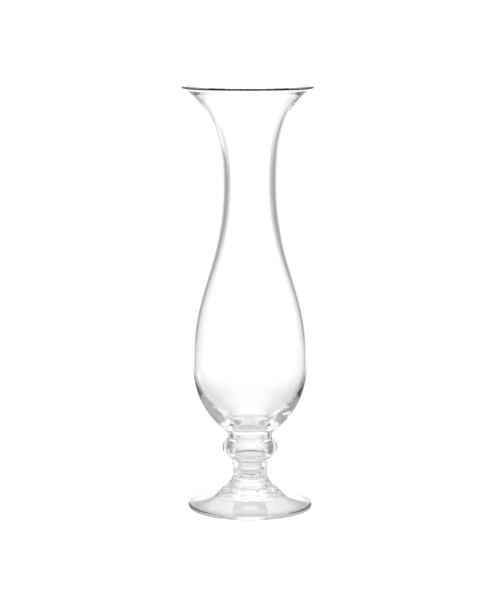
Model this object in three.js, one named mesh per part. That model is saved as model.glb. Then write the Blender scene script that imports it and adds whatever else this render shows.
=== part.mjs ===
// Footed glass flower vase: a blown baluster bowl on a hollow knop, a short stem and a domed foot.
// Six pieces of clear soda-lime glass, each gathered, shaped and fused hot onto the next.
// Millimetres, +Z up, origin in the middle of the ring that the foot rests on.
import * as THREE from 'three';

// Overall sizes.
const HEIGHT = 400;
const MOUTH_DIAMETER = 124;
const BELLY_DIAMETER = 108.6;
const NECK_DIAMETER = 51.2;
const FOOT_DIAMETER = 118.6;

// Heights of the pieces under the bowl. The bowl takes the rest.
const FOOT_HEIGHT = 19.4;
const BUTTON_HEIGHT = 6.8;
const STEM_HEIGHT = 19.2;
const KNOP_HEIGHT = 20;
const COLLAR_HEIGHT = 8;

// Bowl: where it is widest and narrowest, and its glass.
const BELLY_RISE = 64.8; // from the collar
const NECK_DEPTH = 89.6; // below the lip
const WELL_RISE = 7.2; // from the collar to the bottom of the bowl's inside
const HEEL_LEDGE = 3; // how far the bowl stands out over the collar
const NECK_WALL = 4.4;
const BELLY_WALL = 2.6;
const WELL_WALL = 4.2;
const LIP_THICKNESS = 2.4;

// Collar and knop, each with its own wall round the one air space.
const COLLAR_RADIUS = 21.6;
const THROAT_WALL = 4.4; // at the collar's top
const COLLAR_WALL = 7; // at the collar's bottom
const KNOP_LEDGE = 4.8; // how far the knop stands out from the collar
const KNOP_SHOULDER = 8.4; // from the knop's top to its widest level
const KNOP_WALL = 7.2;
const KNOP_FLOOR = 6.6; // glass under the knop's hollow, round the bore

// Stem and button.
const STEM_RADIUS = 16.4; // at the waist
const STEM_TOP_FLARE = 1.6;
const STEM_FOOT_FLARE = 1.8;
const STEM_WAIST_RISE = 4.6; // from the button
const STEM_WALL = 5.1; // at the stem's top
const POCKET_WALL = 5.2;
const POCKET_FLOOR = 2.4; // glass under the air space
const BUTTON_LEDGE = 3.4; // how far the button stands out from the stem
const BUTTON_UNDERCUT = 0.8;
const BUTTON_EDGE_RISE = 1.8;

// Foot.
const FOOT_EDGE = 3.2;
const FOOT_CENTRE = 6; // glass in the middle of the dome
const FOOT_SHOULDER_WIDTH = 5.2;
const FOOT_SHOULDER_DROP = 1.4;

// Slopes of the glass, in degrees from level.
const UPRIGHT = 90;
const INWARD = 180;
const LIP_SLOPE = 31;
const HEEL_SLOPE = 43;
const WELL_SLOPE = 43;
const THROAT_SLOPE = 70;
const KNOP_SHOULDER_SLOPE = 30;
const KNOP_HOLLOW_SLOPE = 60;
const KNOP_FOOT_SLOPE = 35;
const KNOP_FLOOR_SLOPE = 8;
const STEM_FLARE_SLOPE = 62;
const STEM_TOP_SLOPE = 75;
const POCKET_SLOPE = 100;
const BUTTON_UNDER_SLOPE = 20;
const FOOT_EDGE_SLOPE = 9;
const FOOT_SHOULDER_SLOPE = 55;

// How far a curve holds its slope before it turns, as a share of the distance it spans.
const SHORT_HOLD = 0.18;
const EVEN_HOLD = 0.36;
const LONG_HOLD = 0.5;
const DOME_HOLD = 0.62;
const HEEL_HOLD = 0.26;
const BELLY_HOLD = 0.424;
const THROAT_HOLD = 0.464;
const FLARE_HOLD = 0.756;
const LIP_HOLD = 0.056;

// How finely the outlines are drawn: sides round the axis, then the steps along each curve.
const SEGMENTS = 40;
const STEP_LENGTH = 2.5;
const FEWEST_STEPS = 5;
const MOST_STEPS = 9;

// Levels above the table.
const BUTTON_TOP = FOOT_HEIGHT + BUTTON_HEIGHT;
const STEM_TOP = BUTTON_TOP + STEM_HEIGHT;
const KNOP_TOP = STEM_TOP + KNOP_HEIGHT;
const COLLAR_TOP = KNOP_TOP + COLLAR_HEIGHT;

const at = (radius, level) => new THREE.Vector2(radius, level);
const radians = THREE.MathUtils.degToRad;

// The corners that two neighbours share, on the outside and round the air space.
const FOOT_JOINT = at(STEM_RADIUS + STEM_FOOT_FLARE + BUTTON_LEDGE - BUTTON_UNDERCUT, FOOT_HEIGHT);
const BUTTON_JOINT = at(STEM_RADIUS + STEM_FOOT_FLARE, BUTTON_TOP);
const STEM_JOINT = at(STEM_RADIUS + STEM_TOP_FLARE, STEM_TOP);
const STEM_BORE = at(STEM_JOINT.x - STEM_WALL, STEM_TOP);
const KNOP_JOINT = at(COLLAR_RADIUS, KNOP_TOP);
const KNOP_BORE = at(COLLAR_RADIUS - COLLAR_WALL, KNOP_TOP);
const THROAT = at(COLLAR_RADIUS - THROAT_WALL, COLLAR_TOP);

/** A curve from one point to another with the angle and the hold that it leaves and arrives with. */
function sweep(from, leaveAngle, to, arriveAngle, leaveHold = EVEN_HOLD, arriveHold = EVEN_HOLD) {
  const span = from.distanceTo(to);
  const leave = at(Math.cos(radians(leaveAngle)), Math.sin(radians(leaveAngle)));
  const arrive = at(Math.cos(radians(arriveAngle)), Math.sin(radians(arriveAngle)));
  return new THREE.CubicBezierCurve(
    from,
    from.clone().addScaledVector(leave, leaveHold * span),
    to.clone().addScaledVector(arrive, -arriveHold * span),
    to,
  );
}

const straight = (from, to) => new THREE.LineCurve(from, to);

/** A half round of one radius about a centre, from one angle to the opposite one. */
function halfRound(centre, radius, fromAngle) {
  const start = radians(fromAngle);
  return new THREE.EllipseCurve(centre.x, centre.y, radius, radius, start, start + Math.PI, false, 0);
}

/** How many steps a curve is drawn in. */
function stepsAlong(curve) {
  if (curve.isLineCurve) return 1;
  return THREE.MathUtils.clamp(Math.ceil(curve.getLength() / STEP_LENGTH), FEWEST_STEPS, MOST_STEPS);
}

/** The points along a run of curves, with each shared end kept once. */
function outline(...curves) {
  const points = curves.flatMap((curve) => curve.getPoints(stepsAlong(curve)).slice(0, -1));
  points.push(curves.at(-1).getPoint(1));
  return points;
}

/** One glass piece, turned from its outline about the vase's axis and stood upright. */
function turned(name, points) {
  const geometry = new THREE.LatheGeometry(points, SEGMENTS);
  geometry.rotateX(Math.PI / 2);
  const glass = new THREE.MeshStandardMaterial({
    color: 0xf4f8f7, roughness: 0.04, metalness: 0, transparent: true, opacity: 0.3,
  });
  const piece = new THREE.Mesh(geometry, glass);
  piece.name = name;
  return piece;
}

// The blown bowl: heel, belly, neck and the mouth, flared and fire-polished to a round lip.
function bowl() {
  const bead = LIP_THICKNESS / 2;
  const lip = at(MOUTH_DIAMETER / 2 - bead, HEIGHT - bead);
  const rim = halfRound(lip, bead, LIP_SLOPE - UPRIGHT);
  const lipUnder = rim.getPoint(0);
  const lipOver = rim.getPoint(1);

  const heel = at(COLLAR_RADIUS + HEEL_LEDGE, COLLAR_TOP);
  const belly = at(BELLY_DIAMETER / 2, COLLAR_TOP + BELLY_RISE);
  const neck = at(NECK_DIAMETER / 2, HEIGHT - NECK_DEPTH);
  const neckInside = at(neck.x - NECK_WALL, neck.y);
  const bellyInside = at(belly.x - BELLY_WALL, belly.y);
  const well = at(heel.x - WELL_WALL, COLLAR_TOP + WELL_RISE);
  return turned('bowl', outline(
    straight(THROAT, heel),
    sweep(heel, HEEL_SLOPE, belly, UPRIGHT, HEEL_HOLD, LONG_HOLD),
    sweep(belly, UPRIGHT, neck, UPRIGHT, BELLY_HOLD, THROAT_HOLD),
    sweep(neck, UPRIGHT, lipUnder, LIP_SLOPE, FLARE_HOLD, LIP_HOLD),
    rim,
    sweep(lipOver, LIP_SLOPE + INWARD, neckInside, -UPRIGHT, LIP_HOLD, FLARE_HOLD),
    sweep(neckInside, -UPRIGHT, bellyInside, -UPRIGHT, THROAT_HOLD, BELLY_HOLD),
    sweep(bellyInside, -UPRIGHT, well, WELL_SLOPE + INWARD, LONG_HOLD, HEEL_HOLD),
    sweep(well, WELL_SLOPE + INWARD, THROAT, THROAT_SLOPE + INWARD),
  ));
}

// The collar: the short neck jacked in under the bowl, with the throat running through it.
function collar() {
  const top = at(COLLAR_RADIUS, COLLAR_TOP);
  return turned('collar', outline(
    straight(KNOP_JOINT, top),
    straight(top, THROAT),
    sweep(THROAT, THROAT_SLOPE + INWARD, KNOP_BORE, -UPRIGHT),
    straight(KNOP_BORE, KNOP_JOINT),
  ));
}

// The knop: a hollow ball squashed to a ring, with a thick floor round the bore that leads on down.
function knop() {
  const widest = at(COLLAR_RADIUS + KNOP_LEDGE, KNOP_TOP - KNOP_SHOULDER);
  const hollow = at(widest.x - KNOP_WALL, widest.y);
  const floor = at((hollow.x + STEM_BORE.x) / 2, STEM_TOP + KNOP_FLOOR);
  return turned('knop', outline(
    sweep(STEM_JOINT, KNOP_FOOT_SLOPE, widest, UPRIGHT),
    sweep(widest, UPRIGHT, KNOP_JOINT, INWARD - KNOP_SHOULDER_SLOPE),
    straight(KNOP_JOINT, KNOP_BORE),
    sweep(KNOP_BORE, -KNOP_HOLLOW_SLOPE, hollow, -UPRIGHT),
    sweep(hollow, -UPRIGHT, floor, KNOP_FLOOR_SLOPE + INWARD),
    sweep(floor, KNOP_FLOOR_SLOPE + INWARD, STEM_BORE, -POCKET_SLOPE, EVEN_HOLD, LONG_HOLD),
    straight(STEM_BORE, STEM_JOINT),
  ));
}

// The stem: short and waisted, with the tail of the air space closed to a round floor inside it.
function stem() {
  const waist = at(STEM_RADIUS, BUTTON_TOP + STEM_WAIST_RISE);
  const floor = at(0, BUTTON_TOP + POCKET_FLOOR);
  const pocket = at(STEM_RADIUS - POCKET_WALL, (STEM_TOP + floor.y) / 2);
  return turned('stem', outline(
    straight(at(0, BUTTON_TOP), BUTTON_JOINT),
    sweep(BUTTON_JOINT, INWARD - STEM_FLARE_SLOPE, waist, UPRIGHT),
    sweep(waist, UPRIGHT, STEM_JOINT, STEM_TOP_SLOPE),
    straight(STEM_JOINT, STEM_BORE),
    sweep(STEM_BORE, -POCKET_SLOPE, pocket, -UPRIGHT),
    sweep(pocket, -UPRIGHT, floor, INWARD),
  ));
}

// The button: the disc of glass between stem and foot, flared out from the stem to a rounded edge.
function button() {
  const edge = at(BUTTON_JOINT.x + BUTTON_LEDGE, FOOT_HEIGHT + BUTTON_EDGE_RISE);
  return turned('button', outline(
    straight(at(0, FOOT_HEIGHT), FOOT_JOINT),
    sweep(FOOT_JOINT, BUTTON_UNDER_SLOPE, edge, UPRIGHT),
    sweep(edge, UPRIGHT, BUTTON_JOINT, INWARD - STEM_FLARE_SLOPE, SHORT_HOLD),
    straight(BUTTON_JOINT, at(0, BUTTON_TOP)),
  ));
}

// The foot: a spun disc opened into a low dome, hollow underneath and resting on its rim.
function foot() {
  const bead = FOOT_EDGE / 2;
  const edge = at(FOOT_DIAMETER / 2 - bead, bead);
  const edgeTop = at(edge.x, FOOT_EDGE);
  const rest = at(edge.x, 0);
  const restInside = at(rest.x - bead, 0);
  const dome = at(0, FOOT_HEIGHT - FOOT_CENTRE);
  const shoulder = at(FOOT_JOINT.x + FOOT_SHOULDER_WIDTH, FOOT_HEIGHT - FOOT_SHOULDER_DROP);
  const rise = INWARD - FOOT_EDGE_SLOPE;
  const steepRise = INWARD - FOOT_SHOULDER_SLOPE;
  return turned('foot', outline(
    sweep(dome, 0, restInside, -FOOT_EDGE_SLOPE, DOME_HOLD, LONG_HOLD),
    straight(restInside, rest),
    halfRound(edge, bead, -UPRIGHT),
    sweep(edgeTop, rise, shoulder, steepRise, LONG_HOLD, SHORT_HOLD),
    sweep(shoulder, steepRise, FOOT_JOINT, INWARD, SHORT_HOLD),
    straight(FOOT_JOINT, at(0, FOOT_HEIGHT)),
  ));
}

const vase = new THREE.Group();
vase.name = 'flower_vase';
vase.add(foot(), button(), stem(), knop(), collar(), bowl());

export default vase;
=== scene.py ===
"""Clear blown-glass flower vase: six gathers of glass fused hot onto one another, in a soft white studio.

Metres, +Z up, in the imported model's own frame. Each gather is turned again at full smoothness from the
outline of its own node, so every level and radius comes from the frame.
"""

import logging
import math
from dataclasses import dataclass
from enum import Enum
from typing import ClassVar, Iterable, Sequence

import bpy
import numpy as np
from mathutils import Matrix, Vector


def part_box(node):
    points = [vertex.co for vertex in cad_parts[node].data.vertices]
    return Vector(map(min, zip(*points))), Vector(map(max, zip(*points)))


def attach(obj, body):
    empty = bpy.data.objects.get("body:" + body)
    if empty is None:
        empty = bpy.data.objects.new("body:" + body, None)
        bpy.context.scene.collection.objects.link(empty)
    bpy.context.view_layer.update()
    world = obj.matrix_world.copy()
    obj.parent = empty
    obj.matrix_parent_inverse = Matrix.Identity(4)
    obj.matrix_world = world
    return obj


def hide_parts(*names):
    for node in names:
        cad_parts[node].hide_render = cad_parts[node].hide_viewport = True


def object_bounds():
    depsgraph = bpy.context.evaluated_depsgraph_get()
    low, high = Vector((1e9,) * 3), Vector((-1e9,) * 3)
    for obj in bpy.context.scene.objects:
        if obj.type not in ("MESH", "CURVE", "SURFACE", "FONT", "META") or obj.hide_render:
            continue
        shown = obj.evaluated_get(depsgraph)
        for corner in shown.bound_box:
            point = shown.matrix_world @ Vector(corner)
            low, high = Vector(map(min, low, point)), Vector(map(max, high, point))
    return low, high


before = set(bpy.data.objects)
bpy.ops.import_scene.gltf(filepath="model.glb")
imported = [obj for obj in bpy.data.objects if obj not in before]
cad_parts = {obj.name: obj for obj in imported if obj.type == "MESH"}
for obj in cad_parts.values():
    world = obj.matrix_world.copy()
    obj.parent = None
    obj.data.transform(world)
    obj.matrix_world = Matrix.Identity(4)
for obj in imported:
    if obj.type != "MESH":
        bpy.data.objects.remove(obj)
CAD_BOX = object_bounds()

LOG = logging.getLogger("flower_vase")
MILLIMETRE = 0.001
VASE_HEIGHT = CAD_BOX[1].z - CAD_BOX[0].z

Colour = tuple[float, float, float]


class Slot(Enum):
    """The record's material slots."""

    BLOWN = "blown_glass"
    WORKED = "worked_glass"
    FOOT = "foot_glass"


# ---------------------------------------------------------------------------------------------------------
# Node helpers
# ---------------------------------------------------------------------------------------------------------


class NodeBench:
    """A node tree with short ways to add nodes, feed their sockets and join them."""

    def __init__(self, tree: bpy.types.NodeTree) -> None:
        """Takes the tree that the nodes go into.

        Args:
            tree: A shader, world or geometry node tree.
        """
        self.tree = tree

    def add(self, kind: str, feeds: dict | None = None, **settings: object) -> bpy.types.Node:
        """Adds one node.

        Args:
            kind: The node's type name, such as ShaderNodeMix.
            feeds: For each input's name or number, a plain value or the output socket that feeds it.
            settings: Properties of the node, set before its sockets are fed.

        Returns:
            The new node.
        """
        node = self.tree.nodes.new(kind)
        for name, value in settings.items():
            setattr(node, name, value)
        for key, value in (feeds or {}).items():
            self.feed(node.inputs[key], value)
        return node

    def feed(self, socket: bpy.types.NodeSocket, value: object) -> None:
        """Gives an input socket a plain value, or joins it to the output socket that is passed.

        Args:
            socket: The input socket.
            value: A plain value or an output socket.
        """
        if isinstance(value, bpy.types.NodeSocket):
            self.tree.links.new(value, socket)
        else:
            socket.default_value = value

    def maths(self, operation: str, *values: object) -> bpy.types.NodeSocket:
        """Adds a Math node on the values and returns its result."""
        return self.add("ShaderNodeMath", dict(enumerate(values)), operation=operation).outputs[0]

    def blend(self, share: object, first: object, second: object) -> bpy.types.NodeSocket:
        """Adds a Mix node that goes from the first number to the second as the share goes from 0 to 1."""
        return self.add("ShaderNodeMix", {"Factor": share, 2: first, 3: second}, data_type="FLOAT").outputs[0]

    def split(self, vector: object) -> bpy.types.NodeOutputs:
        """Adds a node that takes a vector apart, and returns its X, Y and Z outputs."""
        return self.add("ShaderNodeSeparateXYZ", {0: vector}).outputs

    def vector(self, x: object, y: object, z: object) -> bpy.types.NodeSocket:
        """Adds a node that makes a vector of three numbers."""
        return self.add("ShaderNodeCombineXYZ", {"X": x, "Y": y, "Z": z}).outputs[0]

    def place(self) -> bpy.types.NodeSocket:
        """Adds a node that tells the place on the object, in metres from its origin."""
        return self.add("ShaderNodeTexCoord").outputs["Object"]

    def between(self, value: object, low: object, high: object, at_low: float = 0.0, at_high: float = 1.0,
                ) -> bpy.types.NodeSocket:
        """Eases from one number to another as a value crosses a range.

        Args:
            value: What is measured.
            low: Where the easing starts.
            high: Where it ends.
            at_low: The result at and below the start.
            at_high: The result at and above the end.

        Returns:
            The eased number's socket.
        """
        feeds = {"Value": value, "From Min": low, "From Max": high, "To Min": at_low, "To Max": at_high}
        return self.add("ShaderNodeMapRange", feeds, interpolation_type="SMOOTHSTEP").outputs[0]


def new_group(name: str, kind: str, inputs: Sequence[tuple], outputs: Sequence[tuple],
              ) -> tuple[bpy.types.NodeTree, bpy.types.Node, bpy.types.Node]:
    """Starts a node group with named sockets.

    Args:
        name: The group's name.
        kind: ShaderNodeTree or GeometryNodeTree.
        inputs: (name, socket type, default or None) for each input.
        outputs: (name, socket type) for each output.

    Returns:
        The tree, its input node and its output node.
    """
    tree = bpy.data.node_groups.new(name, kind)
    for label, socket_type, default in inputs:
        socket = tree.interface.new_socket(label, in_out="INPUT", socket_type=socket_type)
        if default is not None:
            socket.default_value = default
    for label, socket_type in outputs:
        tree.interface.new_socket(label, in_out="OUTPUT", socket_type=socket_type)
    return tree, tree.nodes.new("NodeGroupInput"), tree.nodes.new("NodeGroupOutput")


# ---------------------------------------------------------------------------------------------------------
# Shared glass effects
# ---------------------------------------------------------------------------------------------------------


class GlassEffects:
    """The shader node groups that every glass finish shares, each built once.

    The stretch is the cord's noise cells per metre along each axis. The cord shows between two noise levels,
    and a touched patch starts to fade in at a share of its edge's noise level.
    """

    CORD_STRETCH: ClassVar[tuple[float, float, float]] = (9.0, 9.0, 420.0)
    CORD_SHOWS: ClassVar[tuple[float, float]] = (0.5, 0.75)
    PATCH_FADE: ClassVar[float] = 0.75

    def __init__(self) -> None:
        """Builds the groups."""
        self.depth = self._tint_and_painted_shade()
        self.rings = self._tool_rings()
        self.handling = self._handling()

    def _tint_and_painted_shade(self) -> bpy.types.NodeTree:
        """Colour by height: greyer low down, partly the real tint of heavy glass and partly painted shade.

        Returns:
            The group, which puts out one colour.
        """
        tree, ins, outs = new_group(
            "glass_tint_and_painted_shade", "ShaderNodeTree",
            [("Thin Tint and Shade", "NodeSocketColor", (1.0, 1.0, 1.0, 1.0)),
             ("Heavy Tint and Shade", "NodeSocketColor", (1.0, 1.0, 1.0, 1.0)),
             ("Heavy Shade Below", "NodeSocketFloat", 0.0), ("Thin Shade Above", "NodeSocketFloat", 1.0),
             ("Cord", "NodeSocketFloat", 0.02)],
            [("Colour", "NodeSocketColor")])
        bench = NodeBench(tree)
        place = bench.place()
        height = bench.split(place)["Z"]
        # Painted shade mixed with the real tint: the glass goes greyer from the upper level down to the lower
        # one.
        thin = bench.between(height, ins.outputs["Heavy Shade Below"], ins.outputs["Thin Shade Above"])
        colour = bench.add("ShaderNodeMix", {"Factor": thin, 6: ins.outputs["Heavy Tint and Shade"],
                                             7: ins.outputs["Thin Tint and Shade"]}, data_type="RGBA").outputs[2]
        # Cord: faint level streaks where glass of a slightly different melt was wound in.
        level_bands = bench.add("ShaderNodeMapping", {"Vector": place, "Scale": self.CORD_STRETCH}).outputs[0]
        cord = bench.add("ShaderNodeTexNoise", {"Vector": level_bands, "Scale": 1.0,
                                                "Detail": 3.0}).outputs[0]
        dimmer = bench.maths("MULTIPLY", bench.between(cord, *self.CORD_SHOWS), ins.outputs["Cord"])
        keep = bench.maths("SUBTRACT", 1.0, dimmer)
        streaked = bench.add("ShaderNodeVectorMath", {0: colour, "Scale": keep}, operation="SCALE").outputs[0]
        bench.feed(outs.inputs["Colour"], streaked)
        return tree

    @staticmethod
    def _tool_rings() -> bpy.types.NodeTree:
        """Height of the faint level rings that jacks and paddle leave as the vase is turned.

        Returns:
            The group, which puts out one height between 0 and 1.
        """
        tree, ins, outs = new_group(
            "tool_rings", "ShaderNodeTree",
            [("Rings per Metre", "NodeSocketFloat", 300.0), ("Sway", "NodeSocketFloat", 6.0)],
            [("Height", "NodeSocketFloat")])
        bench = NodeBench(tree)
        stretch = bench.vector(ins.outputs["Sway"], ins.outputs["Sway"], ins.outputs["Rings per Metre"])
        turned = bench.add("ShaderNodeVectorMath", {0: bench.place(), 1: stretch},
                           operation="MULTIPLY").outputs[0]
        noise = bench.add("ShaderNodeTexNoise", {"Vector": turned, "Scale": 1.0, "Detail": 2.0,
                                                 "Roughness": 0.45}).outputs[0]
        bench.feed(outs.inputs["Height"], noise)
        return tree

    def _handling(self) -> bpy.types.NodeTree:
        """Mask of the soft patches where hands and cloths have touched the polish.

        Returns:
            The group, which puts out one mask between 0 and 1.
        """
        tree, ins, outs = new_group(
            "handling", "ShaderNodeTree",
            [("Patches per Metre", "NodeSocketFloat", 38.0), ("Share", "NodeSocketFloat", 0.35)],
            [("Mask", "NodeSocketFloat")])
        bench = NodeBench(tree)
        noise = bench.add("ShaderNodeTexNoise", {"Vector": bench.place(), "Detail": 4.0, "Roughness": 0.6,
                                                 "Scale": ins.outputs["Patches per Metre"]}).outputs[0]
        edge = bench.maths("SUBTRACT", 1.0, ins.outputs["Share"])
        mask = bench.between(noise, bench.maths("MULTIPLY", edge, self.PATCH_FADE), edge)
        bench.feed(outs.inputs["Mask"], mask)
        return tree


@dataclass(frozen=True)
class ClearGlass:
    """One clear-glass finish.

    Colours are what a ray keeps as it enters and leaves a wall; the heavy colour low down is partly the real
    tint of thick glass and partly painted shade. Levels are in metres above the table. Polish and handled are
    the roughness of clean and of touched glass. The ground spot has its own radius, the level it reaches up
    to, the share of its radius that is fully ground, and its roughness.
    """

    name: str
    slot: Slot
    thin_tint_shade: Colour
    heavy_tint_shade: Colour
    heavy_shade_below: float
    thin_shade_above: float
    index: float = 1.5
    cord: float = 0.02
    rings_per_metre: float = 300.0
    ring_depth: float = 0.004 * MILLIMETRE
    polish: float = 0.0
    handled: float = 0.02
    ground_radius: float = 0.0
    ground_level: float = 0.0
    ground_core: float = 0.9
    ground_roughness: float = 0.28

    def material(self, effects: GlassEffects) -> bpy.types.Material:
        """Builds the material.

        Args:
            effects: The shared node groups.

        Returns:
            A material with one Principled BSDF whose transmission is plain.
        """
        made = bpy.data.materials.new(self.name)
        made.use_nodes = True
        bench = NodeBench(made.node_tree)
        shader = made.node_tree.nodes["Principled BSDF"]
        shader.inputs["Transmission Weight"].default_value = 1.0
        shader.inputs["IOR"].default_value = self.index

        # Painted shade: the base colour darkens towards the bottom, on top of the real tint of heavy glass.
        depth = bench.add("ShaderNodeGroup", node_tree=effects.depth)
        for label, value in (("Thin Tint and Shade", (*self.thin_tint_shade, 1.0)),
                             ("Heavy Tint and Shade", (*self.heavy_tint_shade, 1.0)),
                             ("Heavy Shade Below", self.heavy_shade_below), ("Thin Shade Above", self.thin_shade_above),
                             ("Cord", self.cord)):
            depth.inputs[label].default_value = value
        bench.feed(shader.inputs["Base Color"], depth.outputs["Colour"])

        handling = bench.add("ShaderNodeGroup", node_tree=effects.handling)
        rough = bench.between(handling.outputs["Mask"], 0.0, 1.0, self.polish, self.handled)
        if self.ground_radius > 0.0:
            rough = self._ground_spot(bench, rough)
        bench.feed(shader.inputs["Roughness"], rough)

        rings = bench.add("ShaderNodeGroup", node_tree=effects.rings)
        rings.inputs["Rings per Metre"].default_value = self.rings_per_metre
        bump = bench.add("ShaderNodeBump", {"Height": rings.outputs["Height"], "Strength": 1.0,
                                            "Distance": self.ring_depth})
        bench.feed(shader.inputs["Normal"], bump.outputs[0])
        return made

    def _ground_spot(self, bench: NodeBench, polished: bpy.types.NodeSocket) -> bpy.types.NodeSocket:
        """Adds the ground spot under the foot, where the holding iron was cracked off.

        Args:
            bench: The material's tree.
            polished: The roughness everywhere else.

        Returns:
            The roughness with the spot in it.
        """
        parts = bench.split(bench.place())
        flat = bench.vector(parts["X"], parts["Y"], 0.0)
        from_axis = bench.add("ShaderNodeVectorMath", {0: flat}, operation="LENGTH").outputs["Value"]
        core = self.ground_core * self.ground_radius
        inside = bench.between(from_axis, core, self.ground_radius, 1.0, 0.0)
        under = bench.between(parts["Z"], self.ground_level, self.ground_level + MILLIMETRE, 1.0, 0.0)
        spot = bench.maths("MULTIPLY", inside, under)
        return bench.blend(spot, polished, self.ground_roughness)


@dataclass(frozen=True)
class FusedSeam:
    """The face where two gathers are one glass: nothing there bends or stops light."""

    name: str = "fused_seam"
    colour: Colour = (0.96, 0.97, 0.965)

    def material(self) -> bpy.types.Material:
        """Builds a material that is fully clear.

        Returns:
            A material with a lone Principled BSDF at no opacity.
        """
        made = bpy.data.materials.new(self.name)
        made.use_nodes = True
        shader = made.node_tree.nodes["Principled BSDF"]
        shader.inputs["Base Color"].default_value = (*self.colour, 1.0)
        shader.inputs["Roughness"].default_value = 0.0
        shader.inputs["Alpha"].default_value = 0.0
        return made


# ---------------------------------------------------------------------------------------------------------
# Shapes
# ---------------------------------------------------------------------------------------------------------


class Outline:
    """The outline of a turned node, read off the node's own mesh and drawn smooth between its seams."""

    GRAIN: ClassVar[float] = 1e-6

    def __init__(self, node: str, seams: Iterable[float]) -> None:
        """Reads one node.

        Args:
            node: The node's name.
            seams: The levels where it is fused to a neighbour, in metres.
        """
        self.node = node
        self.seams = tuple(seams)
        self.points = self._walk(self._links())

    def _links(self) -> dict[tuple[float, float], set[tuple[float, float]]]:
        """Finds the edges that lie in the half plane y = 0, x >= 0.

        Returns:
            For each (radius, level) on the outline, its neighbours along it.
        """
        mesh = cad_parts[self.node].data
        links: dict[tuple[float, float], set[tuple[float, float]]] = {}
        for face in mesh.polygons:
            corners = [mesh.vertices[i].co for i in face.vertices]
            for start, end in zip(corners, corners[1:] + corners[:1]):
                if max(abs(start.y), abs(end.y)) > self.GRAIN or min(start.x, end.x) < -self.GRAIN:
                    continue
                a, b = ((round(abs(p.x), 6), round(p.z, 6)) for p in (start, end))
                if a != b:
                    links.setdefault(a, set()).add(b)
                    links.setdefault(b, set()).add(a)
        return links

    @staticmethod
    def _walk(links: dict[tuple[float, float], set[tuple[float, float]]]) -> list[tuple[float, float]]:
        """Puts the outline's points in order, up the outside and down the inside.

        Args:
            links: Each point's neighbours.

        Returns:
            The points, with the first repeated at the end where the outline closes on itself.
        """
        ends = sorted((p for p, near in links.items() if len(near) == 1), key=lambda p: p[1])
        first = ends[0] if ends else min(links, key=lambda p: (p[1], p[0]))
        onward = max(links[first], key=lambda p: p[0])
        order = [first, onward]
        while order[-1] != first and len(links[order[-1]]) > 1:
            step = next(p for p in links[order[-1]] if p != order[-2])
            order.append(step)
        return order

    def _is_seam(self, a: tuple[float, float], b: tuple[float, float]) -> bool:
        """Tells whether the edge between two points lies on a seam."""
        return any(max(abs(a[1] - level), abs(b[1] - level)) < 2 * self.GRAIN for level in self.seams)

    def smooth(self, steps: int) -> np.ndarray:
        """Draws the outline finely: straight across each seam, one smooth curve everywhere between seams.

        Args:
            steps: How many steps each edge of the node's outline is cut into.

        Returns:
            (n, 2) radii and levels.
        """
        seams = [self._is_seam(a, b) for a, b in zip(self.points, self.points[1:])]
        drawn: list[np.ndarray] = []
        run: list[tuple[float, float]] = [self.points[0]]
        for point, previous, seam in zip(self.points[1:], self.points, seams):
            if seam:
                if len(run) > 1:
                    drawn.append(self._curve(np.array(run), steps))
                drawn.append(np.array([previous]))
                run = [point]
            else:
                run.append(point)
        drawn.append(self._curve(np.array(run), steps) if len(run) > 1 else np.empty((0, 2)))
        drawn.append(np.array([self.points[-1]]))
        return np.vstack(drawn)

    def _curve(self, run: np.ndarray, steps: int) -> np.ndarray:
        """Puts a cubic spline through a run of points, level at the axis and free at seams.

        Args:
            run: (n, 2) points.
            steps: Steps between one point and the next.

        Returns:
            The points along the spline, without the last one.
        """
        mirrored_start, mirrored_end = run[0, 0] < self.GRAIN, run[-1, 0] < self.GRAIN
        flip = np.array([-1.0, 1.0])
        before = (run[1:] * flip)[::-1] if mirrored_start else run[:0]
        after = (run[:-1] * flip)[::-1] if mirrored_end else run[:0]
        whole = np.vstack([before, run, after])
        chords = np.linalg.norm(np.diff(whole, axis=0), axis=1)
        along = np.concatenate([[0.0], np.cumsum(chords)])
        bend = self._second_derivatives(along, whole)
        out = []
        for i in range(len(before), len(before) + len(run) - 1):
            h = along[i + 1] - along[i]
            for t in np.arange(steps) / steps:
                a, b = 1.0 - t, t
                out.append(a * whole[i] + b * whole[i + 1]
                           + ((a**3 - a) * bend[i] + (b**3 - b) * bend[i + 1]) * h * h / 6.0)
        levels = [level for _, level in self.points]
        return np.clip(out, [0.0, min(levels)], [1.0, max(levels)])

    @staticmethod
    def _second_derivatives(along: np.ndarray, points: np.ndarray) -> np.ndarray:
        """Solves a natural cubic spline.

        Args:
            along: The distance of each point along the run.
            points: (n, 2) points.

        Returns:
            (n, 2) second derivatives.
        """
        n = len(points)
        h = np.diff(along)
        matrix, wanted = np.eye(n), np.zeros((n, 2))
        for i in range(1, n - 1):
            matrix[i, i - 1:i + 2] = h[i - 1], 2.0 * (h[i - 1] + h[i]), h[i]
            wanted[i] = 6.0 * ((points[i + 1] - points[i]) / h[i] - (points[i] - points[i - 1]) / h[i - 1])
        return np.linalg.solve(matrix, wanted)


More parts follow.
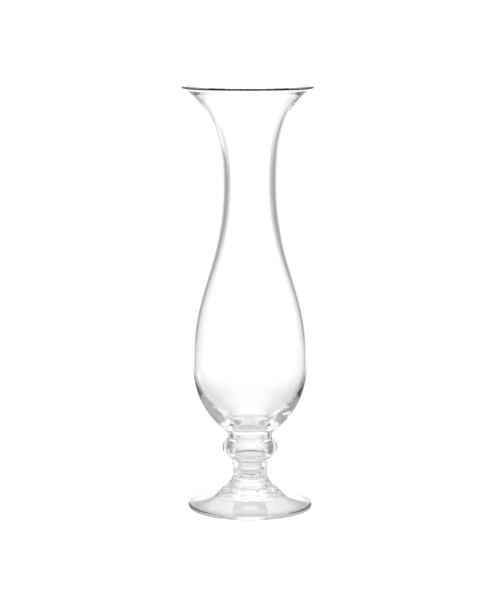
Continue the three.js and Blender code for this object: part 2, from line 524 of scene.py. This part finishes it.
class TurningTree:
    """The geometry-node lathe: it turns an outline into a closed gather, a little uneven as hand work is."""

    INPUTS: ClassVar[tuple] = (
        ("Outline", "NodeSocketGeometry", None),
        ("Segments", "NodeSocketInt", 128),
        ("Rows", "NodeSocketInt", 64),
        ("Ripple", "NodeSocketFloat", 0.0),
        ("Ripples per Metre", "NodeSocketFloat", 20.0),
        ("Ripple Seed", "NodeSocketFloat", 0.0),
        ("Ripple Fade", "NodeSocketFloat", 0.01),
        ("Bottom", "NodeSocketFloat", 0.0),
        ("Top", "NodeSocketFloat", 1.0),
        ("Lean", "NodeSocketFloat", 0.0),
        ("Lean Start", "NodeSocketFloat", 0.0),
        ("Lower Seam", "NodeSocketFloat", -1.0),
        ("Upper Seam", "NodeSocketFloat", -1.0),
        ("Glass", "NodeSocketMaterial", None),
        ("Seam", "NodeSocketMaterial", None),
    )
    CREASE: ClassVar[float] = math.radians(38.0)
    LEVEL_GRAIN: ClassVar[float] = 1e-5
    WELD: ClassVar[float] = 1e-6
    FLAT: ClassVar[float] = 0.999

    def __init__(self) -> None:
        """Builds the tree."""
        self.tree, self.ins, self.outs = new_group("turning", "GeometryNodeTree", self.INPUTS,
                                                   [("Gather", "NodeSocketGeometry")])
        self.bench = NodeBench(self.tree)
        self._build()

    def _input(self, name: str) -> bpy.types.NodeSocket:
        """Returns the group input's socket of that name."""
        return self.ins.outputs[name]

    def _build(self) -> None:
        """Adds the nodes: a grid of segments by rows, wrapped round the axis, welded, shaded and dressed."""
        bench = self.bench
        columns = bench.maths("ADD", self._input("Segments"), 1.0)
        grid = bench.add("GeometryNodeMeshGrid", {"Size X": 1.0, "Size Y": 1.0, "Vertices X": columns,
                                                  "Vertices Y": self._input("Rows")}).outputs["Mesh"]
        index = bench.add("GeometryNodeInputIndex").outputs[0]
        row = bench.maths("MODULO", index, self._input("Rows"))
        # Half a step keeps the division clear of the rounding just below a whole number.
        column = bench.maths("DIVIDE", bench.maths("ADD", index, 0.5), self._input("Rows"))
        share = bench.maths("DIVIDE", bench.maths("FLOOR", column), self._input("Segments"))
        angle = bench.maths("MULTIPLY", share, 2.0 * math.pi)
        position = bench.add("GeometryNodeInputPosition").outputs[0]
        point = bench.add("GeometryNodeSampleIndex", {"Geometry": self._input("Outline"), "Value": position,
                                                      "Index": row}, data_type="FLOAT_VECTOR").outputs[0]
        parts = bench.split(point)
        radius, level = parts["X"], parts["Z"]
        radius = bench.maths("ADD", radius, self._ripple(angle, radius, level))
        side = bench.maths("MULTIPLY", radius, bench.maths("COSINE", angle))
        across = bench.maths("ADD", side, self._lean(level))
        depth = bench.maths("MULTIPLY", radius, bench.maths("SINE", angle))
        place = bench.vector(across, depth, level)
        turned = bench.add("GeometryNodeSetPosition", {"Geometry": grid, "Position": place}).outputs[0]
        welded = bench.add("GeometryNodeMergeByDistance", {"Geometry": turned,
                                                           "Distance": self.WELD}).outputs[0]
        bench.feed(self.outs.inputs["Gather"], self._dressed(self._shaded(welded)))

    def _ripple(self, angle: bpy.types.NodeSocket, radius: bpy.types.NodeSocket, level: bpy.types.NodeSocket,
                ) -> bpy.types.NodeSocket:
        """How far the glass stands off a true circle: soft waves that die out at the seams and on the axis.

        Args:
            angle: Angle round the axis.
            radius: True radius.
            level: Height above the table.

        Returns:
            The radius to add.
        """
        bench = self.bench
        where = bench.vector(bench.maths("MULTIPLY", radius, bench.maths("COSINE", angle)),
                             bench.maths("MULTIPLY", radius, bench.maths("SINE", angle)), level)
        noise = bench.add("ShaderNodeTexNoise", {"Vector": where, "W": self._input("Ripple Seed"),
                                                 "Scale": self._input("Ripples per Metre"), "Detail": 1.0},
                          noise_dimensions="4D").outputs[0]
        wave = bench.maths("MULTIPLY", bench.maths("SUBTRACT", noise, 0.5), self._input("Ripple"))
        fade = self._input("Ripple Fade")
        from_bottom = bench.between(bench.maths("SUBTRACT", level, self._input("Bottom")), 0.0, fade)
        from_top = bench.between(bench.maths("SUBTRACT", self._input("Top"), level), 0.0, fade)
        off_axis = bench.between(radius, 0.0, fade)
        mask = bench.maths("MULTIPLY", bench.maths("MULTIPLY", from_bottom, from_top), off_axis)
        return bench.maths("MULTIPLY", wave, mask)

    def _lean(self, level: bpy.types.NodeSocket) -> bpy.types.NodeSocket:
        """How far the mouth leans sideways at a level.

        Args:
            level: Height above the table.

        Returns:
            The distance along X to add.
        """
        bench = self.bench
        share = bench.between(level, self._input("Lean Start"), self._input("Top"))
        return bench.maths("MULTIPLY", share, self._input("Lean"))

    def _shaded(self, mesh: bpy.types.NodeSocket) -> bpy.types.NodeSocket:
        """Shades the gather smooth, with a crease wherever it turns sharply.

        Args:
            mesh: The welded gather.

        Returns:
            The shaded gather.
        """
        bench = self.bench
        turn = bench.add("GeometryNodeInputMeshEdgeAngle").outputs["Unsigned Angle"]
        sharp = bench.add("FunctionNodeCompare", {0: turn, 1: self.CREASE}, data_type="FLOAT",
                          operation="GREATER_THAN").outputs[0]
        smooth = bench.add("GeometryNodeSetShadeSmooth", {0: mesh, "Shade Smooth": True},
                           domain="FACE").outputs[0]
        return bench.add("GeometryNodeSetShadeSmooth", {0: smooth, "Selection": sharp, "Shade Smooth": False},
                         domain="EDGE").outputs[0]

    def _dressed(self, mesh: bpy.types.NodeSocket) -> bpy.types.NodeSocket:
        """Makes the result real and gives it the glass, and the seam's material on its fused faces.

        Args:
            mesh: The shaded gather.

        Returns:
            The finished gather.
        """
        bench = self.bench
        real = bench.add("GeometryNodeRealizeInstances", {0: mesh}).outputs[0]
        glass = bench.add("GeometryNodeSetMaterial", {0: real, "Material": self._input("Glass")}).outputs[0]
        level = bench.split(bench.add("GeometryNodeInputPosition").outputs[0])["Z"]
        upright = bench.split(bench.add("GeometryNodeInputNormal").outputs[0])["Z"]
        flat = bench.maths("GREATER_THAN", bench.maths("ABSOLUTE", upright), self.FLAT)
        lower = bench.maths("COMPARE", level, self._input("Lower Seam"), self.LEVEL_GRAIN)
        upper = bench.maths("COMPARE", level, self._input("Upper Seam"), self.LEVEL_GRAIN)
        fused = bench.maths("MULTIPLY", flat, bench.maths("MAXIMUM", lower, upper))
        return bench.add("GeometryNodeSetMaterial", {0: glass, "Selection": fused,
                                                     "Material": self._input("Seam")}).outputs[0]

    def turn(self, name: str, outline: np.ndarray, values: dict[str, object]) -> bpy.types.Object:
        """Turns one gather.

        Args:
            name: The new piece's name.
            outline: (n, 2) radii and levels, up the outside and down the inside.
            values: The tree's inputs by name.

        Returns:
            A plain mesh object at the origin, linked to the scene, with no modifier left on it.
        """
        points = [(float(r), 0.0, float(z)) for r, z in outline]
        mesh = bpy.data.meshes.new(name + "_outline")
        mesh.from_pydata(points, [(i, i + 1) for i in range(len(points) - 1)], [])
        blank = bpy.data.objects.new(name + "_outline", mesh)
        bpy.context.scene.collection.objects.link(blank)
        lathe = blank.modifiers.new("turning", "NODES")
        lathe.node_group = self.tree
        sockets = {s.name: s.identifier for s in self.tree.interface.items_tree if s.in_out == "INPUT"}
        for label, value in {"Rows": len(points), **values}.items():
            lathe[sockets[label]] = value
        graph = bpy.context.evaluated_depsgraph_get()
        made = bpy.data.meshes.new_from_object(blank.evaluated_get(graph), depsgraph=graph)
        made.name = name
        bpy.data.objects.remove(blank)
        bpy.data.meshes.remove(mesh)
        piece = bpy.data.objects.new(name, made)
        bpy.context.scene.collection.objects.link(piece)
        return piece


@dataclass
class Gather:
    """One turned gather of glass. Its outline comes from its node, its handwork from these fields.

    The ripple is the waviness of the wall, which fades out over a distance from each end. The lean is how far
    the top stands off the axis along X, starting from a level. A gather may be fused below and above.
    """

    NO_SEAM: ClassVar[float] = -1.0

    node: str
    slot: Slot
    segments: int = 128
    steps: int = 6
    ripple: float = 0.10 * MILLIMETRE
    ripples_per_metre: float = 45.0
    ripple_fade: float = 4.0 * MILLIMETRE
    seed: float = 0.0
    lean: float = 0.0
    lean_start: float = 0.0
    fused_below: bool = True
    fused_above: bool = True

    @property
    def levels(self) -> tuple[float, float]:
        """The node's lowest and highest level."""
        low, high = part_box(self.node)
        return low.z, high.z

    def shape(self, tree: TurningTree, glass: bpy.types.Material, seam: bpy.types.Material,
              ) -> bpy.types.Object:
        """Turns the gather and dresses it.

        Args:
            tree: The geometry-node lathe.
            glass: The finish of its surface.
            seam: The material of its fused faces.

        Returns:
            The finished mesh object.
        """
        bottom, top = self.levels
        seams = (bottom if self.fused_below else self.NO_SEAM, top if self.fused_above else self.NO_SEAM)
        outline = Outline(self.node, seams).smooth(self.steps)
        return tree.turn(self.node + "_glass", outline, {
            "Segments": self.segments, "Ripple": self.ripple, "Ripples per Metre": self.ripples_per_metre,
            "Ripple Seed": self.seed, "Ripple Fade": self.ripple_fade, "Bottom": bottom, "Top": top,
            "Lean": self.lean, "Lean Start": self.lean_start, "Lower Seam": seams[0], "Upper Seam": seams[1],
            "Glass": glass, "Seam": seam})

    def place(self, piece: bpy.types.Object) -> None:
        """Lets the piece ride on the vase's one body in place of its node.

        Args:
            piece: The finished mesh object.
        """
        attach(piece, "root")
        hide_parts(self.node)


@dataclass
class Bowl(Gather):
    """The blown bowl, from the heel over the belly and neck to the fire-polished lip."""

    node: str = "bowl"
    slot: Slot = Slot.BLOWN
    segments: int = 192
    steps: int = 7
    ripple: float = 0.30 * MILLIMETRE
    ripples_per_metre: float = 22.0
    ripple_fade: float = 22.0 * MILLIMETRE
    seed: float = 3.1
    lean: float = -2.2 * MILLIMETRE
    lean_start: float = 0.78 * VASE_HEIGHT
    fused_above: bool = False


@dataclass
class Collar(Gather):
    """The short neck jacked in under the bowl."""

    node: str = "collar"
    slot: Slot = Slot.WORKED
    seed: float = 5.7
    ripple_fade: float = 2.0 * MILLIMETRE


@dataclass
class Knop(Gather):
    """The hollow knop."""

    node: str = "knop"
    slot: Slot = Slot.WORKED
    seed: float = 8.2


@dataclass
class Stem(Gather):
    """The short stem round the closed end of the air space."""

    node: str = "stem"
    slot: Slot = Slot.WORKED
    seed: float = 12.4


@dataclass
class Button(Gather):
    """The button that joins stem and foot."""

    node: str = "button"
    slot: Slot = Slot.WORKED
    seed: float = 15.9
    ripple_fade: float = 2.0 * MILLIMETRE


@dataclass
class Foot(Gather):
    """The domed foot with its resting ring."""

    node: str = "foot"
    slot: Slot = Slot.FOOT
    segments: int = 160
    steps: int = 7
    ripple: float = 0.18 * MILLIMETRE
    ripples_per_metre: float = 26.0
    seed: float = 19.3
    fused_below: bool = False


class Vase:
    """The whole vase: its finishes and its six gathers, from the foot up."""

    FINISHES: ClassVar[tuple[ClearGlass, ...]] = (
        # Painted shade: the bowl greys towards the heel, partly the real tint of its heavy base.
        ClearGlass("blown_clear_glass", Slot.BLOWN,
                   thin_tint_shade=(0.985, 0.988, 0.986), heavy_tint_shade=(0.86, 0.868, 0.865),
                   heavy_shade_below=0.19 * VASE_HEIGHT, thin_shade_above=0.34 * VASE_HEIGHT),
        # Painted shade: the worked glass is greyer all over, partly its real tint and partly the shade seen
        # through knop and stem.
        ClearGlass("worked_clear_glass", Slot.WORKED,
                   thin_tint_shade=(0.87, 0.875, 0.873), heavy_tint_shade=(0.8, 0.806, 0.804),
                   heavy_shade_below=0.06 * VASE_HEIGHT, thin_shade_above=0.18 * VASE_HEIGHT, rings_per_metre=520.0),
        # Painted shade: the foot's lowest millimetres, where it rests, go much darker, partly the real tint
        # of the thick rim and partly painted contact shadow.
        ClearGlass("spun_clear_glass", Slot.FOOT,
                   thin_tint_shade=(0.99, 0.986, 0.985), heavy_tint_shade=(0.7, 0.706, 0.703),
                   heavy_shade_below=0.8 * MILLIMETRE, thin_shade_above=2.4 * MILLIMETRE, rings_per_metre=260.0,
                   ground_radius=9.0 * MILLIMETRE, ground_level=14.0 * MILLIMETRE),
    )
    GATHERS: ClassVar[tuple[type[Gather], ...]] = (Foot, Button, Stem, Knop, Collar, Bowl)

    def build(self) -> None:
        """Builds every gather and reports it."""
        effects = GlassEffects()
        finishes = {finish.slot: finish.material(effects) for finish in self.FINISHES}
        seam = FusedSeam().material()
        tree = TurningTree()
        for kind in self.GATHERS:
            gather = kind()
            piece = gather.shape(tree, finishes[gather.slot], seam)
            gather.place(piece)
            LOG.info("%s: %d faces, %.1f mm across, %.1f mm tall", piece.name, len(piece.data.polygons),
                     piece.dimensions.x / MILLIMETRE, piece.dimensions.z / MILLIMETRE)


# ---------------------------------------------------------------------------------------------------------
# Studio
# ---------------------------------------------------------------------------------------------------------


@dataclass(frozen=True)
class Panel:
    """A bright panel of the sweep, straight behind the vase for one side it is looked at from.

    Angles are in degrees: the bearing from +Y towards +X, half the width, how softly the sides end, then the
    lowest and highest rise.
    """

    bearing: float
    half_width: float
    softness: float
    lowest: float
    highest: float


@dataclass
class Studio:
    """A white studio for clear glass: bright panels straight behind, grey flags beside them, a lit ceiling.

    Angles are in degrees above the horizon, and light is the strength of what stands there. The panels go
    from their low light to their high light between two rises. The flags fill the gaps between them and fade
    out above their top. The ceiling comes in between two rises, and below another two the ground is as bright
    as a panel. The floor is solid out to where it starts to fade, and ends at its radius.
    """

    # The second panel lets the sides of the first fade more slowly low down, behind the belly and the foot.
    panels: tuple[Panel, ...] = (Panel(0.0, 8.0, 20.0, -60.0, 12.0), Panel(0.0, 8.0, 32.0, -60.0, -8.5),
                                 Panel(-45.0, 8.0, 4.0, -45.0, -15.0), Panel(-90.0, 8.0, 4.0, -14.0, 8.0),
                                 Panel(135.0, 8.0, 4.0, -26.0, -4.0))
    panel_end: float = 4.0
    flag_top: float = 18.0
    flag_softness: float = 20.0
    flag_light: float = 0.38
    low_light: float = 1.0
    high_light: float = 1.25
    low_rise: float = -26.0
    high_rise: float = -9.0
    ceiling_light: float = 3.3
    ceiling_from: float = 35.0
    ceiling_full: float = 65.0
    ground_from: float = -48.0
    ground_full: float = -58.0
    floor_radius: float = 0.14
    floor_fade: float = 0.05
    floor_grey: float = 0.86
    floor_roughness: float = 0.9
    floor_sides: int = 128
    floor_gap: float = 0.05 * MILLIMETRE

    def build(self) -> None:
        """Makes the floor and the light round it."""
        self._floor()
        self._world()

    def _floor(self) -> None:
        """Lays a pale round floor whose edge melts into the sweep."""
        angles = [2.0 * math.pi * k / self.floor_sides for k in range(self.floor_sides)]
        level = CAD_BOX[0].z - self.floor_gap
        ring = [(self.floor_radius * math.cos(a), self.floor_radius * math.sin(a), level) for a in angles]
        mesh = bpy.data.meshes.new("floor")
        mesh.from_pydata(ring, [], [tuple(range(self.floor_sides))])
        floor = bpy.data.objects.new("floor", mesh)
        bpy.context.scene.collection.objects.link(floor)
        paint = bpy.data.materials.new("pale_floor")
        paint.use_nodes = True
        bench = NodeBench(paint.node_tree)
        shader = paint.node_tree.nodes["Principled BSDF"]
        shader.inputs["Base Color"].default_value = (self.floor_grey, self.floor_grey, self.floor_grey, 1.0)
        shader.inputs["Roughness"].default_value = self.floor_roughness
        shader.inputs["Specular IOR Level"].default_value = 0.0
        from_middle = bench.add("ShaderNodeVectorMath", {0: bench.place()},
                                operation="LENGTH").outputs["Value"]
        solid = bench.between(from_middle, self.floor_fade, self.floor_radius, 1.0, 0.0)
        bench.feed(shader.inputs["Alpha"], solid)
        mesh.materials.append(paint)
        LOG.info("floor: %.2f m across", 2 * self.floor_radius)

    def _panel_share(self, bench: NodeBench, panel: Panel, bearing: bpy.types.NodeSocket,
                     rise: bpy.types.NodeSocket) -> bpy.types.NodeSocket:
        """How much of one panel stands in a direction.

        Args:
            bench: The world's tree.
            panel: The panel.
            bearing: The direction's bearing.
            rise: The direction's rise.

        Returns:
            1 on the panel, 0 clear of it, and eased at its sides and ends.
        """
        off = bench.maths("ABSOLUTE", bench.maths("WRAP", bench.maths("SUBTRACT", bearing, panel.bearing),
                                                  180.0, -180.0))
        across = bench.between(off, panel.half_width, panel.half_width + panel.softness, 1.0, 0.0)
        above = bench.between(rise, panel.lowest - self.panel_end, panel.lowest)
        below = bench.between(rise, panel.highest, panel.highest + self.panel_end, 1.0, 0.0)
        return bench.maths("MULTIPLY", across, bench.maths("MULTIPLY", above, below))

    def _world(self) -> None:
        """Lights the studio from all round."""
        world = bpy.data.worlds.new("studio")
        world.use_nodes = True
        bench = NodeBench(world.node_tree)
        towards = bench.add("ShaderNodeTexCoord").outputs["Generated"]
        parts = bench.split(towards)
        degrees = math.degrees(1.0)
        bearing = bench.maths("MULTIPLY", bench.maths("ARCTAN2", parts["X"], parts["Y"]), degrees)
        rise = bench.maths("MULTIPLY", bench.maths("ARCSINE", parts["Z"]), degrees)
        lit = bench.between(rise, self.ground_full, self.ground_from, 1.0, 0.0)
        for panel in self.panels:
            lit = bench.maths("MAXIMUM", lit, self._panel_share(bench, panel, bearing, rise))
        low = bench.between(rise, self.flag_top, self.flag_top + self.flag_softness, 1.0, 0.0)
        flag = bench.maths("MULTIPLY", bench.maths("SUBTRACT", 1.0, lit), low)
        panel_light = bench.between(rise, self.low_rise, self.high_rise, self.low_light, self.high_light)
        wall = bench.blend(flag, panel_light, self.flag_light)
        ceiling = bench.between(rise, self.ceiling_from, self.ceiling_full)
        light = bench.blend(ceiling, wall, self.ceiling_light)
        background = world.node_tree.nodes["Background"]
        background.inputs["Color"].default_value = (1.0, 1.0, 1.0, 1.0)
        bench.feed(background.inputs["Strength"], light)
        bpy.context.scene.world = world
        LOG.info("studio: %d bright panels", len(self.panels))


@dataclass
class Viewpoint:
    """The camera, placed in multiples of the vase's height from the middle of its foot."""

    back: float = 4.6375
    up: float = 1.183
    dip_degrees: float = 8.42
    lens: float = 119.1
    sensor: float = 36.0

    def build(self) -> None:
        """Makes the camera and hands it to the scene."""
        data = bpy.data.cameras.new("viewpoint")
        data.lens, data.sensor_width = self.lens, self.sensor
        camera = bpy.data.objects.new("viewpoint", data)
        bpy.context.scene.collection.objects.link(camera)
        camera.location = Vector((0.0, -self.back, self.up)) * VASE_HEIGHT
        camera.rotation_euler = (math.radians(90.0 - self.dip_degrees), 0.0, 0.0)
        bpy.context.scene.camera = camera
        LOG.info("camera: %.2f m away", self.back * VASE_HEIGHT)


def set_light_paths() -> None:
    """Lets light through as many walls of glass as there are, and shows colours as they are."""
    scene = bpy.context.scene
    cycles = scene.cycles
    cycles.max_bounces = 32
    cycles.transmission_bounces = 32
    cycles.glossy_bounces = 16
    cycles.transparent_max_bounces = 48
    scene.view_settings.view_transform = "Standard"


def main() -> None:
    """Builds the vase, its studio and the camera, and reports each piece."""
    logging.basicConfig(level=logging.INFO, format="%(name)s: %(message)s")
    Viewpoint().build()
    Vase().build()
    Studio().build()
    set_light_paths()


if __name__ == "__main__":
    main()
